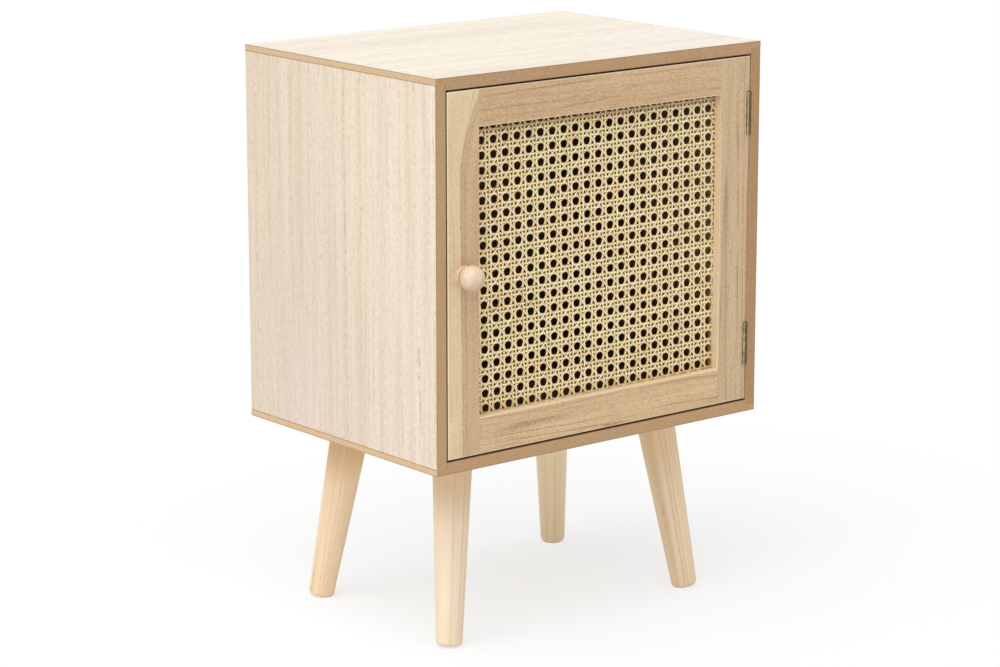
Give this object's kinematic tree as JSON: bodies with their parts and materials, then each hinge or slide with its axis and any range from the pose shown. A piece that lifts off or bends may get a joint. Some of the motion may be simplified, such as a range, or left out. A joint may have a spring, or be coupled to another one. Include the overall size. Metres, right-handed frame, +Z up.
{
  "type": "nightstand",
  "caption": "Bedside cabinet on splayed round legs, with a hinged framed door that holds a woven cane panel, a turned wooden knob and an open inside for storage.",
  "frame": {"origin": "on the floor, under the middle of the whole outline with the knob included", "axes": "+Z up, -Y out of the door, +X to the hinge side"},
  "size_m": [0.4, 0.3204, 0.552],
  "materials": {
    "veneered_board": "satin pale veneer",
    "hardboard": "smooth brown hardboard",
    "leg_wood": "satin pale wood",
    "frame_wood": "satin straw-coloured wood",
    "woven_cane": "natural cane",
    "bead_wood": "plain sanded wood",
    "knob_wood": "satin turned wood",
    "aged_brass": "aged brass",
    "zinc_steel": "zinc plated",
    "catch_plastic": "ivory moulded",
    "ferrite": "dark sintered"
  },
  "bodies": {
    "cabinet": {"top_panel": "veneered_board", "bottom_panel": "veneered_board", "side_panel_left": "veneered_board", "side_panel_right": "veneered_board", "back_panel": "hardboard", "leg_front_left": "leg_wood", "leg_front_right": "leg_wood", "leg_back_left": "leg_wood", "leg_back_right": "leg_wood", "hinge_upper_side_leaf": "aged_brass", "hinge_lower_side_leaf": "aged_brass", "hinge_upper_pin": "aged_brass", "hinge_lower_pin": "aged_brass", "hinge_side_screws": "aged_brass", "leg_bolt_front_left": "zinc_steel", "leg_bolt_front_right": "zinc_steel", "leg_bolt_back_left": "zinc_steel", "leg_bolt_back_right": "zinc_steel", "leg_tee_nuts": "zinc_steel", "back_panel_brads": "zinc_steel", "catch_screws": "zinc_steel", "catch_pole_plates": "zinc_steel", "catch_housing": "catch_plastic", "catch_magnet": "ferrite"},
    "door": {"pull_stile": "frame_wood", "hinge_stile": "frame_wood", "top_rail": "frame_wood", "bottom_rail": "frame_wood", "cane_panel": "woven_cane", "cane_bead_bottom": "bead_wood", "cane_bead_top": "bead_wood", "cane_bead_left": "bead_wood", "cane_bead_right": "bead_wood", "knob": "knob_wood", "knob_screw": "zinc_steel", "hinge_upper_door_leaf": "aged_brass", "hinge_lower_door_leaf": "aged_brass", "hinge_door_screws": "aged_brass", "strike_plate": "zinc_steel", "strike_screw": "zinc_steel"}
  },
  "joints": [
    {"name": "door_hinge", "type": "hinge", "parent": "cabinet", "child": "door", "pos_m": [0.1851, -0.13575, 0.368], "axis": [0, 0, 1], "range_deg": [0, 175]}
  ]
}
